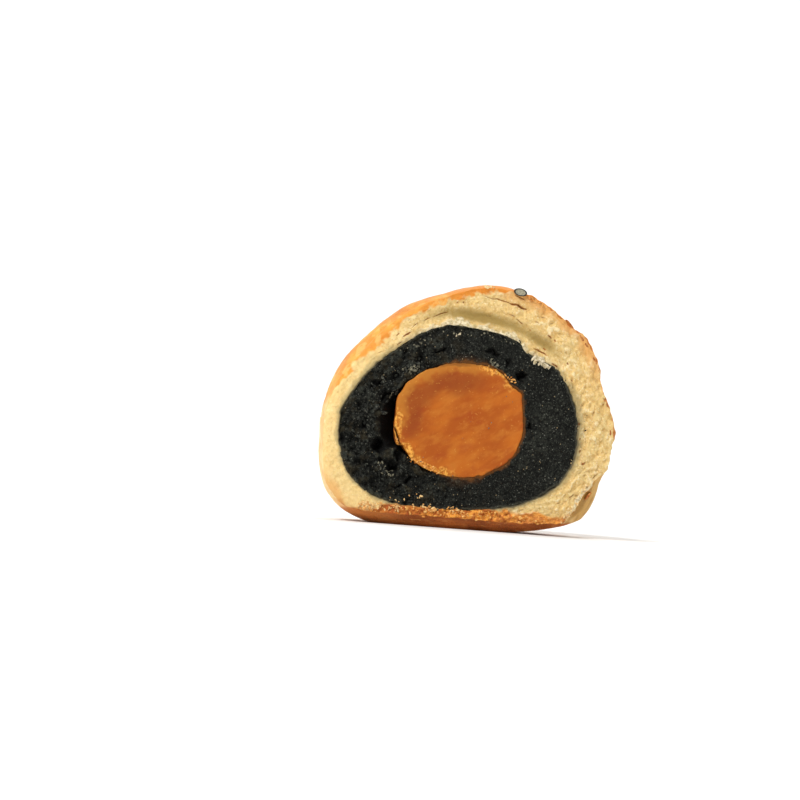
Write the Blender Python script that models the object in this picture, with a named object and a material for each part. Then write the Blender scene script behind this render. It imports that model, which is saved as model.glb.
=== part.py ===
"""Half of a baked egg yolk pastry, sliced through the middle and stood on its own base.

Three solids: the flaky crust, the black sesame paste that it wraps, and the salted yolk at the centre.
The slice is the plane y = 0 while the pieces are made. It faces -Y, and everything solid lies behind it.
"""

import math
from dataclasses import dataclass

import bmesh
import bpy
import numpy as np
from mathutils import Matrix, Vector

# The whole, in metres. The pastry was round, so its half is half as deep as it is wide.
WIDTH = 0.0530
HEIGHT = 0.0442
DEPTH = WIDTH / 2
PEAK_X = 0.0027  # the dome leans a little to the right
BELLY_Z = 0.0181  # height of the widest level
SETTLE = 0.0012  # how far baking flattened the rounded bottom against the tray
SOLE_CURL = 0.0012  # the sole curls up off the tray by this much at the right
SOLE_CURL_FROM = 0.0060
SOLE_CURL_SPAN = 0.0100
GAP = 0.0003  # clearance between one piece and the next

# The slice rounded the crust's edge over: (angle round the slice, how far in), 0 degrees at the right.
ROUNDED_EDGE = (
    (-180, 0.0011),
    (-160, 0.0012),
    (-146, 0.0017),
    (-136, 0.0033),
    (-125, 0.0036),
    (-110, 0.0034),
    (-90, 0.0032),
    (-75, 0.0033),
    (-60, 0.0034),
    (-52, 0.0032),
    (-45, 0.0024),
    (-38, 0.0036),
    (-28, 0.0042),
    (-20, 0.0029),
    (-13, 0.0004),
    (-5, 0.0003),
    (60, 0.0003),
    (95, 0.0010),
    (130, 0.0024),
    (150, 0.0021),
    (165, 0.0014),
    (180, 0.0011),
)
ROUNDED_DEPTH = 0.0062  # how far behind the slice the rounding ends

LUMP_HEIGHT = 0.00018
LUMP_LENGTH = 0.0125
LUMP_WAVES = 14
LUMP_SEED = 5
CALM_HEIGHT = 0.0080  # the lumps grow from nothing at the tray to their full height here

# Blisters and dips in the skin: (angle round the slice, distance behind it, radius, height).
BLISTERS = (
    (44, 0.0006, 0.0026, 0.0009),
    (64, 0.0000, 0.0034, -0.0003),
    (24, 0.0000, 0.0030, -0.0006),
    (4, 0.0010, 0.0028, 0.0005),
    (84, 0.0020, 0.0030, 0.0004),
)

# A smooth hollow that the slice opened between the crust and the top of the paste.
HOLLOW_DEPTH = 0.0011
HOLLOW_SPREAD = 0.0011  # half its width, outwards from the paste
HOLLOW_OFFSET = 0.0018  # from the paste's edge to the hollow's middle
HOLLOW_ANGLE = math.radians(73)
HOLLOW_SWEEP = math.radians(31)

CRUMB_RELIEF = 0.00018
PASTE_RELIEF = 0.00032
YOLK_CROWN = 0.0005  # the soft yolk stands this far proud of the slice at its middle

# Gashes in the slice: (x, z, length, width, depth, angle in degrees).
CRUST_CRACKS = (
    (0.0056, 0.0405, 0.0060, 0.0007, 0.0018, -18),
    (0.0067, 0.0384, 0.0042, 0.0006, 0.0012, -21),
    (-0.0071, 0.0378, 0.0040, 0.0006, 0.0012, 23),
    (0.0173, 0.0331, 0.0024, 0.0008, 0.0012, -60),
    (-0.0126, 0.0341, 0.0022, 0.0006, 0.0010, 47),
)
PASTE_PITS = (
    (-0.0141, 0.0205, 0.0122, 0.0018, 0.0032, 86),
    (-0.0162, 0.0138, 0.0028, 0.0020, 0.0024, 60),
    (-0.0133, 0.0094, 0.0026, 0.0020, 0.0022, 10),
)

SEED_SIZE = (0.0030, 0.0019, 0.0011)  # length, width and thickness of a sesame seed
SEED_SIDES = 6
SEED_TRIES = 60  # throws of one seed each, of which those that land too near another are left out
SEED_SPREAD = 0.0170  # how far from the peak they fell
SEED_SPACING = 0.0036
SEED_SEED = 11
SEED_SINK = 0.17  # the share of its thickness from the skin up to a seed's middle
SLICED_SEED_SINK = -0.35
SLICED_SEED_X = 0.0071  # the one seed that the slice went through
SEEDS_CLEAR_OF_SLICE = 0.0090


@dataclass(frozen=True)
class Body:
    """A rounded form: its half sizes to each side of a centre, and how square each corner is (2 is an ellipse)."""

    centre: tuple
    left: float
    right: float
    depth: float
    above: float
    below: float
    upper: tuple  # corner at the left, at the back and at the right
    lower: tuple


DOUGH = Body(
    centre=(PEAK_X, 0.0, BELLY_Z),
    left=WIDTH / 2 + PEAK_X,
    right=WIDTH / 2 - PEAK_X,
    depth=DEPTH,
    above=HEIGHT - BELLY_Z,
    below=BELLY_Z + SETTLE,
    upper=(1.79, 1.95, 1.91),
    lower=(3.8, 3.5, 3.6),
)
PASTE = Body(
    centre=(-0.0043, 0.0, 0.0183),
    left=0.0186,
    right=0.0242,
    depth=0.0208,
    above=0.0179,
    below=0.0149,
    upper=(1.44, 1.9, 2.19),
    lower=(2.77, 2.5, 2.49),
)
YOLK = Body(
    centre=(-0.0011, 0.0, 0.0190),
    left=0.0126,
    right=0.0112,
    depth=0.0118,
    above=0.0106,
    below=0.0098,
    upper=(1.84, 2.0, 2.4),
    lower=(2.1, 2.0, 2.1),
)


def reach(directions, body):
    """Distance from the centre to the surface along each unit direction.

    The surface is where the horizontal share, as on a circle, and the vertical share, each raised to the
    corner's power, add up to one.
    """
    x, y, z = directions.T
    side = np.hypot(x, y) + 1e-12
    facing = x / side
    width = np.where(x < 0, body.left, body.right)
    flat = np.hypot(x / width, y / body.depth)
    rise = np.abs(z) / np.where(z < 0, body.below, body.above)
    left, back, right = (np.where(z < 0, lo, up) for lo, up in zip(body.lower, body.upper))
    power = back + np.where(facing < 0, left - back, right - back) * facing**2
    return (flat**power + rise**power) ** (-1 / power)


def swell(points):
    """Smooth random lumps, near -1 to 1: waves of one length, each in its own direction."""
    draw = np.random.default_rng(LUMP_SEED)
    headings = draw.normal(size=(LUMP_WAVES, 3))
    headings /= np.linalg.norm(headings, axis=1, keepdims=True)
    phases = draw.uniform(0, 2 * math.pi, LUMP_WAVES)
    waves = np.sin(points @ headings.T * (2 * math.pi / LUMP_LENGTH) + phases)
    return waves.sum(axis=1) / math.sqrt(LUMP_WAVES)


def outside(directions):
    """The crust's outer surface: the body with its lumps and blisters, its rounded edge and its flat sole."""
    centre = np.array(DOUGH.centre)
    points = centre + directions * reach(directions, DOUGH)[:, None]
    out = points - centre
    angle = np.degrees(np.arctan2(out[:, 2], out[:, 0]))
    from_axis = np.hypot(out[:, 0], out[:, 2])
    behind = np.maximum(points[:, 1], 0)
    calm = np.clip(points[:, 2] / CALM_HEIGHT, 0, 1)
    lift = LUMP_HEIGHT * calm * swell(points)
    for where, back, radius, height in BLISTERS:
        along = np.radians(angle - where) * from_axis
        lift += height * np.exp(-(along**2 + (behind - back) ** 2) / radius**2)
    inset = np.interp(angle, *zip(*ROUNDED_EDGE))
    rounding = np.clip(1 - behind / ROUNDED_DEPTH, 0, 1) ** 2
    points += directions * lift[:, None]
    towards_axis = out * (1, 0, 1) / np.maximum(from_axis, 1e-9)[:, None]
    points -= towards_axis * (inset * rounding)[:, None]
    curl = SOLE_CURL * np.maximum((points[:, 0] - SOLE_CURL_FROM) / SOLE_CURL_SPAN, 0) ** 2
    points[:, 2] = np.maximum(points[:, 2], curl)
    return points


def ball(columns, rows):
    """A sphere with its poles on Y and its rows drawn in towards the slice, and its unit directions."""
    bm = bmesh.new()
    turned = Matrix.Rotation(math.pi / 2, 4, "X")
    bmesh.ops.create_uvsphere(bm, u_segments=columns, v_segments=rows, radius=1, matrix=turned)
    co = np.array([v.co for v in bm.verts])
    share = np.arcsin(np.clip(co[:, 1], -1, 1)) / (math.pi / 2)
    climb = np.sign(share) * np.abs(share) ** 1.45 * math.pi / 2
    heading = np.arctan2(co[:, 2], co[:, 0])
    directions = np.stack(
        (np.cos(climb) * np.cos(heading), np.sin(climb), np.cos(climb) * np.sin(heading)), axis=1
    )
    return bm, directions


def mesh_object(name, bm, collection, material=None):
    """The bmesh as a named object in a collection, shaded smooth where it is round."""
    mesh = bpy.data.meshes.new(name)
    bm.to_mesh(mesh)
    bm.free()
    made = bpy.data.objects.new(name, mesh)
    collection.objects.link(made)
    if material:
        mesh.materials.append(material)
        mesh.shade_smooth()
        mesh.set_sharp_from_angle(angle=math.radians(50))
    else:
        made.hide_render = True
        made.display_type = "WIRE"
    return made


def shaped(name, bm, points, collection, material=None):
    """Moves the vertices to these points, and makes the object."""
    for vertex, point in zip(bm.verts, points):
        vertex.co = point
    return mesh_object(name, bm, collection, material)


def rounded_form(name, body, collection, columns, rows, grown=0.0, material=None):
    """A body as a closed mesh, on both sides of the slice, made larger all round where it is a cutter."""
    bm, directions = ball(columns, rows)
    points = np.array(body.centre) + directions * (reach(directions, body) + grown)[:, None]
    return shaped(name, bm, points, collection, material)


def knife(name, relief, collection, cells):
    """A slab that takes away all in front of the slice and leaves this relief, in metres back from it."""
    size, thickness = 0.036, 0.040
    bm = bmesh.new()
    upright = Matrix.Translation((0, 0, HEIGHT / 2)) @ Matrix.Rotation(math.pi / 2, 4, "X")
    bmesh.ops.create_grid(bm, x_segments=cells, y_segments=cells, size=size, matrix=upright)
    co = np.array([v.co for v in bm.verts])
    for vertex, back in zip(bm.verts, relief(co[:, 0], co[:, 2])):
        vertex.co.y = back
    made = bmesh.ops.extrude_face_region(bm, geom=bm.faces[:])
    for vertex in (g for g in made["geom"] if isinstance(g, bmesh.types.BMVert)):
        vertex.co.y = -thickness
    bmesh.ops.recalc_face_normals(bm, faces=bm.faces[:])
    return mesh_object(name, bm, collection)


def share_of(body, x, z):
    """How far out each point of the slice is: 0 at the body's centre and 1 at its edge."""
    dx, dz = x - body.centre[0], z - body.centre[2]
    out = np.hypot(dx, dz) + 1e-9
    directions = np.stack((dx / out, np.zeros_like(out), dz / out), axis=1)
    return out / reach(directions, body), out, np.arctan2(dz, dx)


def crust_relief(x, z):
    """Crumb, and the smooth hollow that follows the top of the paste."""
    share, out, angle = share_of(PASTE, x, z)
    past_edge = out - out / share - HOLLOW_OFFSET
    hollow = np.exp(-((past_edge / HOLLOW_SPREAD) ** 2) - ((angle - HOLLOW_ANGLE) / HOLLOW_SWEEP) ** 2)
    points = np.stack((x, np.zeros_like(x), z), axis=1)
    return HOLLOW_DEPTH * hollow + CRUMB_RELIEF * swell(points * 3.1)


def paste_relief(x, z):
    """Coarse crumbling, deeper to the left of the yolk than to the right of it."""
    points = np.stack((x, np.zeros_like(x), z), axis=1)
    rough = np.clip(0.7 - x / 0.030, 0.4, 1.3)
    return PASTE_RELIEF * rough * swell(points * 4.3)


def yolk_relief(x, z):
    """A shallow crown, highest at the yolk's middle."""
    share, _, _ = share_of(YOLK, x, z)
    return -YOLK_CROWN * np.clip(1 - share**2, 0, 1)


def gashes(name, rows):
    """One collection of lens-shaped cutters, each a sphere squeezed to a gash's length, depth and width."""
    made = bpy.data.collections.new(name)
    cutters.children.link(made)
    for number, (x, z, length, width, depth, angle) in enumerate(rows):
        bm = bmesh.new()
        bmesh.ops.create_uvsphere(bm, u_segments=10, v_segments=6, radius=1)
        gash = mesh_object(f"{name}_{number}", bm, made)
        size = Matrix.Diagonal((length / 2, depth, width / 2, 1))
        turn = Matrix.Rotation(-math.radians(angle), 4, "Y")
        gash.data.transform(Matrix.Translation((x, 0, z)) @ turn @ size)
    return made


def carve(target, cutter, name):
    """Takes a cutter, or every cutter of a collection, away from the target."""
    cut = target.modifiers.new(name, "BOOLEAN")
    cut.operation = "DIFFERENCE"
    if isinstance(cutter, bpy.types.Collection):
        cut.operand_type = "COLLECTION"
        cut.collection = cutter
    else:
        cut.object = cutter


def seed_places():
    """(surface point, normal, turn) of each sesame seed: the sliced one, then those scattered over the top."""
    draw = np.random.default_rng(SEED_SEED)
    places = [(SLICED_SEED_X, 0.0)]
    for _ in range(SEED_TRIES):
        x = draw.uniform(-SEED_SPREAD, SEED_SPREAD)
        y = draw.uniform(SEEDS_CLEAR_OF_SLICE, SEED_SPREAD)
        clear = all(math.dist((x, y), other) > SEED_SPACING for other in places)
        if math.hypot(x, y) < SEED_SPREAD and clear:
            places.append((x, y))
    found = []
    for x, y in places:
        rise = DOUGH.above * math.sqrt(1 - (x**2 + y**2) / DEPTH**2)
        guess = np.array((x - PEAK_X, y, rise))
        nudges = guess + 1e-4 * np.array(((0, 0, 0), (1, 0, 0), (0, 1, 0)))
        point, ahead, beside = outside(nudges / np.linalg.norm(nudges, axis=1, keepdims=True))
        normal = np.cross(ahead - point, beside - point)
        turn = 0.1 if not found else draw.uniform(0, math.pi)
        found.append((Vector(point), Vector(normal).normalized(), turn))
    return found


def add_seeds(crust):
    """Fuses the sesame seeds to the crust, each sunk by a third of its thickness."""
    together = bpy.data.collections.new("seeds")
    cutters.children.link(together)
    for number, (point, normal, turn) in enumerate(seed_places()):
        bm = bmesh.new()
        bmesh.ops.create_uvsphere(bm, u_segments=SEED_SIDES, v_segments=4, radius=0.5)
        seed = mesh_object(f"seed_{number}", bm, together)
        lie = normal.to_track_quat("Z", "Y").to_matrix().to_4x4()
        sink = SEED_SINK if number else SLICED_SEED_SINK
        place = Matrix.Translation(point + normal * SEED_SIZE[2] * sink)
        seed.data.transform(place @ lie @ Matrix.Rotation(turn, 4, "Z") @ Matrix.Diagonal((*SEED_SIZE, 1)))
    join = crust.modifiers.new("seeds", "BOOLEAN")
    join.operation = "UNION"
    join.operand_type = "COLLECTION"
    join.collection = together
    bpy.context.view_layer.update()
    evaluated = crust.evaluated_get(bpy.context.evaluated_depsgraph_get())
    fused = bpy.data.meshes.new_from_object(evaluated)
    crust.modifiers.clear()
    crust.data = fused
    for seed in list(together.objects):
        bpy.data.objects.remove(seed)
    bpy.data.collections.remove(together)


def material(name, colour, roughness):
    """A matt or glossy food surface of one colour."""
    made = bpy.data.materials.new(name)
    made.use_nodes = True
    shader = made.node_tree.nodes["Principled BSDF"]
    shader.inputs["Base Color"].default_value = (*colour, 1)
    shader.inputs["Roughness"].default_value = roughness
    shader.inputs["Metallic"].default_value = 0.0
    return made


def make_crust():
    """The baked dough: one shell of pastry, open only at the slice, with its seeds on top."""
    bm, directions = ball(columns=72, rows=34)
    crust = shaped("crust", bm, outside(directions), pastry, material("crust", (0.84, 0.52, 0.19), 0.6))
    add_seeds(crust)
    carve(crust, rounded_form("room_for_paste", PASTE, cutters, 52, 20, GAP), "filling")
    carve(crust, knife("crust_knife", crust_relief, cutters, cells=46), "slice")
    carve(crust, gashes("crust_cracks", CRUST_CRACKS), "cracks")
    return crust


def make_paste():
    """The ball of sesame paste round the yolk, crumbled by the knife."""
    colour = material("sesame_paste", (0.010, 0.011, 0.011), 0.75)
    paste = rounded_form("sesame_paste", PASTE, pastry, 52, 20, 0.0, colour)
    carve(paste, rounded_form("room_for_yolk", YOLK, cutters, 40, 14, GAP), "yolk")
    carve(paste, knife("paste_knife", paste_relief, cutters, cells=50), "slice")
    carve(paste, gashes("paste_pits", PASTE_PITS), "pits")
    return paste


def make_yolk():
    """The salted yolk, baked firm."""
    yolk = rounded_form("yolk", YOLK, pastry, 40, 14, 0.0, material("yolk", (0.60, 0.17, 0.02), 0.4))
    carve(yolk, knife("yolk_knife", yolk_relief, cutters, cells=34), "slice")
    return yolk


def stand_on_origin(pieces):
    """Brings the middle of the bottom of the box round all the pieces to the origin, with the cutters."""
    bpy.context.view_layer.update()
    graph = bpy.context.evaluated_depsgraph_get()
    corners = np.array(
        [vertex.co[:] for piece in pieces for vertex in piece.evaluated_get(graph).data.vertices]
    )
    low, high = corners.min(axis=0), corners.max(axis=0)
    shift = Matrix.Translation((-(low[0] + high[0]) / 2, -(low[1] + high[1]) / 2, -low[2]))
    for each in bpy.data.objects:
        each.data.transform(shift)


for old in list(bpy.data.objects):
    bpy.data.objects.remove(old)
pastry = bpy.data.collections.new("egg_yolk_pastry")
cutters = bpy.data.collections.new("cutters")
for group in (pastry, cutters):
    bpy.context.scene.collection.children.link(group)
stand_on_origin([make_crust(), make_paste(), make_yolk()])
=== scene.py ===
import itertools
import math

import bpy
import numpy as np
from mathutils import Matrix, Vector
from mathutils.bvhtree import BVHTree


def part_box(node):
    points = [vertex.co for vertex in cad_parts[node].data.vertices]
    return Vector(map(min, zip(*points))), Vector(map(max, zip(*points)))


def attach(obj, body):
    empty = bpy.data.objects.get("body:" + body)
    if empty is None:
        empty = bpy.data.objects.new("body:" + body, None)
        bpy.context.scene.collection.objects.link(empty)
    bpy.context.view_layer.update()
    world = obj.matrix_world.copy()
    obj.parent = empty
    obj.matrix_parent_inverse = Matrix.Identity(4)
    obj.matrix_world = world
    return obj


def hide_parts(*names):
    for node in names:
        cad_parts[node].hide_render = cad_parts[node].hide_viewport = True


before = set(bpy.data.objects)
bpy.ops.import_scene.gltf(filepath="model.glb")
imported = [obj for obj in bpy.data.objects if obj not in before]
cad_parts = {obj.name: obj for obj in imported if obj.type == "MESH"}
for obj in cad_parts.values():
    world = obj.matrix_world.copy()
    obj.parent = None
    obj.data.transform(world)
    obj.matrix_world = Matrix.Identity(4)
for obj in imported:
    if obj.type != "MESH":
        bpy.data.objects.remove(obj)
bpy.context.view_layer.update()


# ---- Salted yolk ---------------------------------------------------------------------------------
# A duck egg's yolk, cured in salt and then baked: firm, oily and finely grained. The knife left its cut
# smooth, crumbled it along the lower left rim and split off a sliver there.
#
# All pieces are made in millimetres with the slice at y = 0, its front towards -Y, and put in their place
# on the frame when their mesh is made.

MM = 0.001
PASTE_CENTRE = np.array((-4.3, 0.0, 18.3))
PASTE_LEFT, PASTE_DEPTH = 18.6, 20.8
paste_low, paste_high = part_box("sesame_paste")
# The paste's CAD solid gives the slice's place, because its left and back ends are known from its middle
slice_x = paste_low.x / MM - PASTE_CENTRE[0] + PASTE_LEFT
SLICE_PLACE = np.array((slice_x, paste_high.y / MM - PASTE_DEPTH, 0))


def once_round(sides):
    """Angles once round the slice, evenly spaced, from the right and anticlockwise."""
    return np.linspace(0, 2 * math.pi, sides, endpoint=False)


def heading(angle, climb):
    """Unit directions: angle turns anticlockwise round the slice from the right, and climb leans back."""
    angle, climb = np.broadcast_arrays(angle, climb)
    return np.stack((np.cos(climb) * np.cos(angle), np.sin(climb), np.cos(climb) * np.sin(angle)), axis=-1)


def reach(directions, widths, depth, heights, corners):
    """Distance from a form's centre to its surface along unit directions.

    On the surface, the share of the width, as on a circle, and the share of the height, each raised to
    the corner's power, add up to one. A power of 2 is an ellipse and a higher one is squarer. Widths are
    left and right, heights down and up, and corners the powers below and above, each left, back and right.
    """
    x, y, z = np.moveaxis(directions, -1, 0)
    facing = x / (np.hypot(x, y) + 1e-12)
    level = np.hypot(x / np.where(x < 0, *widths), y / depth)
    rise = np.abs(z) / np.where(z < 0, *heights)
    left, back, right = (np.where(z < 0, low, high) for low, high in zip(*corners))
    power = back + np.where(facing < 0, left - back, right - back) * facing**2
    return (level**power + rise**power) ** (-1 / power)


def hashed(cell, seed):
    """A fixed random number from -1 to 1 for each whole-numbered cell, mixed from the bits of its place."""
    mixed = cell[..., 0] * 374761393 + cell[..., 1] * 668265263 + cell[..., 2] * 951274213
    mixed = mixed + seed * 974634777
    mixed = (mixed ^ (mixed >> 13)) * 1274126177
    mixed = mixed ^ (mixed >> 16)
    return (mixed & 0xFFFF) / 32767.5 - 1


def noise(points, size, seed, octaves=1):
    """Smooth random hills, about -1 to 1: hashed numbers at the corners of cubes of this size, blended by
    a smooth step. Each further octave is half as wide and half as high."""
    total = 0.0
    for octave in range(octaves):
        place = points / size * 2**octave + 11.7 * (seed + octave)
        cell = np.floor(place).astype(np.int64)
        share = place - cell
        share = share**3 * (share * (share * 6 - 15) + 10)
        value = 0.0
        for corner in itertools.product((0, 1), repeat=3):
            weight = np.prod(np.where(corner, share, 1 - share), axis=-1)
            value = value + weight * hashed(cell + np.array(corner), seed + octave)
        total = total + value / 2**octave
    return total


def step_up(low, high, value):
    """0 on low's side, 1 on high's side, and a smooth S between them."""
    share = np.clip((value - low) / (high - low), 0, 1)
    return share * share * (3 - 2 * share)


def bump_at(value, middle, spread):
    """A bell: 1 at the middle, falling away over the spread."""
    return np.exp(-(((value - middle) / spread) ** 2))


def on_slice(points):
    """Each point's place on the flat slice, x and z with y left out."""
    return points * (1, 0, 1)


def apart(points, others):
    """Distance between matching points, along the slice."""
    return np.linalg.norm(on_slice(points - others), axis=-1)


def gouge(points, cuts, seed, ragged):
    """How deep each point of the slice lies in a cut: a bent valley along a short line, ragged and tapered.

    A cut is (x, z, length, degrees from level, half width, depth), and the deepest one counts.
    """
    waver = noise(on_slice(points), 0.9, seed, 2) * ragged
    deepest = np.zeros(points.shape[:-1])
    for x, z, length, degrees, width, depth in cuts:
        turn = math.radians(degrees)
        dx, dz = points[..., 0] - x, points[..., 2] - z
        along = (dx * math.cos(turn) + dz * math.sin(turn)) / (length / 2)
        across = dz * math.cos(turn) - dx * math.sin(turn) + 0.035 * length * along**2 + waver
        valley = depth * np.sqrt(np.clip(1 - along**2, 0, 1)) * bump_at(across, 0, width)
        deepest = np.maximum(deepest, valley)
    return deepest


def with_poles(rows):
    """Each copy's numbers in one line: its first row's mean, all its rows, and its last row's mean."""
    ends = rows[:, :1].mean(axis=2), rows[:, -1:].mean(axis=2)
    return np.concatenate((ends[0], rows.reshape(len(rows), -1, rows.shape[-1]), ends[1]), axis=1)


def closed_surface(name, parts, marks):
    """One object of closed meshes, each a sheet of rows of points from one pole to the other.

    The sheet's parts follow each other. Each row runs anticlockwise round the slice, and the first and the
    last row close on their own middle. Marks are numbers on the points, a value or an array for each part,
    which the material reads by name.
    """
    rows, sides = sum(part.shape[-3] for part in parts), parts[0].shape[-2]
    sheets = np.concatenate(parts, axis=-3).reshape(-1, rows, sides, 3)
    copies, points = len(sheets), with_poles(sheets)
    row, column = np.mgrid[0 : rows - 1, 0:sides]
    start, onward = row * sides + 1, (column + 1) % sides
    below, above = start + column, start + onward
    quads = np.stack((below, below + sides, above + sides, above), axis=-1)
    foot = points.shape[1] - 1
    opening = np.stack((below[0] * 0, below[0], above[0]), axis=-1)
    ending = np.stack((above[0] * 0 + foot, above[-1] + sides, below[-1] + sides), axis=-1)
    corners = np.concatenate((opening.ravel(), quads.ravel(), ending.ravel()))
    corners = corners + np.arange(copies)[:, None] * points.shape[1]
    sizes = np.tile(np.repeat((3, 4, 3), (sides, quads.size // 4, sides)), copies)
    mesh = bpy.data.meshes.new(name)
    mesh.vertices.add(points.size // 3)
    mesh.vertices.foreach_set("co", ((points + SLICE_PLACE) * MM).ravel())
    mesh.loops.add(corners.size)
    mesh.loops.foreach_set("vertex_index", corners.ravel())
    mesh.polygons.add(len(sizes))
    mesh.polygons.foreach_set("loop_start", np.cumsum(sizes) - sizes)
    mesh.update(calc_edges=True)
    mesh.validate()
    mesh.shade_smooth()
    for mark, values in marks.items():
        values = [np.broadcast_to(value, part.shape[:-1]) for value, part in zip(values, parts)]
        values = with_poles(np.concatenate(values, axis=-2).reshape(copies, rows, sides, 1))
        mesh.attributes.new(mark, "FLOAT", "POINT").data.foreach_set("value", values.ravel())
    piece = bpy.data.objects.new(name, mesh)
    bpy.context.scene.collection.objects.link(piece)
    return piece


def linear(hex_colour):
    """An sRGB hex colour as linear red, green, blue and alpha: straight near black, and a power above."""
    shares = (int(hex_colour[i : i + 2], 16) / 255 for i in (1, 3, 5))
    return (*(s / 12.92 if s <= 0.04045 else ((s + 0.055) / 1.055) ** 2.4 for s in shares), 1.0)


SMOOTHLY, TIMES = {"interpolation_type": "SMOOTHSTEP"}, {"operation": "MULTIPLY"}


def node(material, kind, settings=None, **links):
    """Adds a shader node and gives its outputs. Settings are its properties, and links are its inputs, by
    name or by number.

    An input takes another node's output, a fixed value or a hex colour. "_" is a space in an input's name.
    """
    tree = material.node_tree
    made = tree.nodes.new("ShaderNode" + kind)
    for setting, value in (settings or {}).items():
        setattr(made, setting, value)
    for name, value in links.items():
        socket = made.inputs[int(name[2:]) if name.startswith("in") else name.replace("_", " ")]
        if isinstance(value, bpy.types.NodeSocket):
            tree.links.new(value, socket)
        else:
            socket.default_value = linear(value) if isinstance(value, str) else value
    return made.outputs


def speckle(material, size, detail, stretch=(1, 1, 1), lean=0.0):
    """Noise from 0 to 1, with hills this many millimetres wide. They are drawn out along axes that lean
    this many degrees up from level."""
    place = node(material, "TexCoord")["Object"]
    leaning = (0, -math.radians(lean), 0)
    place = node(material, "Mapping", {"vector_type": "TEXTURE"}, in0=place, in2=leaning, in3=stretch)[0]
    grain = node(material, "TexNoise", Vector=place, Scale=1 / (size * MM), Detail=detail, Roughness=0.55)
    return grain["Fac"]


def coats(material, colour, *layers):
    """The colour with others laid over it in turn, each given as (colour, where, low, high, most).

    Where is a node's output or the name of a mark on the mesh. None of a layer shows at low, and it rises
    smoothly to most of it at high, or to all of it. Without low and high, where is its share.
    """
    for above, where, *limits in layers:
        if isinstance(where, str):
            where = node(material, "Attribute", {"attribute_name": where})["Fac"]
        if limits:
            low, high, most = (*limits, 1.0)[:3]
            where = node(material, "MapRange", SMOOTHLY, in0=where, in1=low, in2=high, in4=most)[0]
        colour = node(material, "Mix", {"data_type": "RGBA"}, in0=where, in6=colour, in7=above)[2]
    return colour


def food(name, **shader_settings):
    """A new material and its shader, with what is the same all over it set on the shader."""
    material = bpy.data.materials.new(name)
    material.use_nodes = True
    shader = material.node_tree.nodes["Principled BSDF"]
    for setting, value in shader_settings.items():
        shader.inputs[setting.replace("_", " ")].default_value = value
    return material, shader


def finish(piece, material, shader, **links):
    """Connects the shader's inputs and puts the material on the piece."""
    for name, output in links.items():
        material.node_tree.links.new(output, shader.inputs[name.replace("_", " ")])
    piece.data.materials.append(material)


YOLK_CENTRE = np.array((-1.1, 0.0, 19.0))
YOLK_FORM = ((12.6, 11.2), 11.8, (9.8, 10.6), ((2.1, 2.0, 2.1), (1.84, 2.0, 2.4)))
# Where the sliver split off: (x, z, length, degrees from level, half width, depth)
YOLK_SPLITS = ((-12.4, 15.4, 4.4, -66, 0.12, 0.9), (-11.0, 12.7, 2.0, -46, 0.1, 0.5))
SLIVER_ANGLE, NIB_ANGLE = 3.42, 0.52
YOLK_SIDES, YOLK_FACE_ROWS, YOLK_BACK_ROWS = 440, 91, 23
POLE_GAP = 0.05  # how far short of a pole a piece's last row ends, in radians


def yolk_points(angle, climb):
    """Points of the yolk's outside: its form, a little uneven, with the split sliver and a nib."""
    directions = heading(angle, climb)
    points = YOLK_CENTRE + directions * reach(directions, *YOLK_FORM)[..., None]
    near_slice = np.cos(climb) ** 16
    torn_end = step_up(SLIVER_ANGLE + 0.17, SLIVER_ANGLE + 0.12, angle)
    rim = 0.95 * bump_at(angle, SLIVER_ANGLE + 0.1, 0.24) * torn_end
    rim = rim + 0.45 * bump_at(angle, NIB_ANGLE, 0.06) - 0.5 * bump_at(angle, NIB_ANGLE + 0.22, 0.13)
    rim = rim - 0.15 * bump_at(angle, SLIVER_ANGLE + 0.3, 0.1)
    rim = rim - 0.85 * bump_at(angle, 3.32, 0.36) + 0.45 * bump_at(angle, 2.55, 0.4)
    uneven = 0.16 * noise(points, 2.4, 41, 2) + near_slice * (0.12 * noise(points, 0.9, 42, 3) + rim)
    return points + directions * uneven[..., None]


yolk_angle = once_round(YOLK_SIDES)
yolk_rim = yolk_points(yolk_angle, 0.012)
yolk_share = np.linspace(0, 1, YOLK_FACE_ROWS + 1)[1:, None] ** 0.75
yolk_face = YOLK_CENTRE + (yolk_rim - YOLK_CENTRE) * yolk_share[..., None]
yolk_flat = on_slice(yolk_face)
inward = apart(yolk_face, yolk_rim)
# Crumbled at the lower left and a little at the upper right, smeared with paste along the rest of the rim
broken_rim = np.clip(
    bump_at(yolk_angle, 4.1, 0.62) + bump_at(yolk_angle, 3.35, 0.35) + 0.8 * bump_at(yolk_angle, 1.1, 0.5)
    + 0.45 * noise(yolk_rim, 2.4, 44), 0, 1,
)
crumbled = broken_rim * step_up(1.5, 0.6, inward + 0.5 * noise(yolk_flat, 1.0, 43, 2))
smooth_rim = np.clip(bump_at(yolk_angle, 5.4, 0.9) + bump_at(yolk_angle, 0, 0.5), 0, 1)
smeared = step_up(0.8, 0.0, inward + 0.3 * noise(yolk_flat, 0.8, 37, 2)) * (0.2 + 0.6 * smooth_rim)
upper_smear = step_up(0.9, 0.2, inward + 0.3 * noise(yolk_flat, 1.2, 49))
smeared = smeared + upper_smear * 0.75 * bump_at(yolk_angle, 1.75, 0.5)
splits = gouge(yolk_face, YOLK_SPLITS, 45, 0.12)
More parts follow.
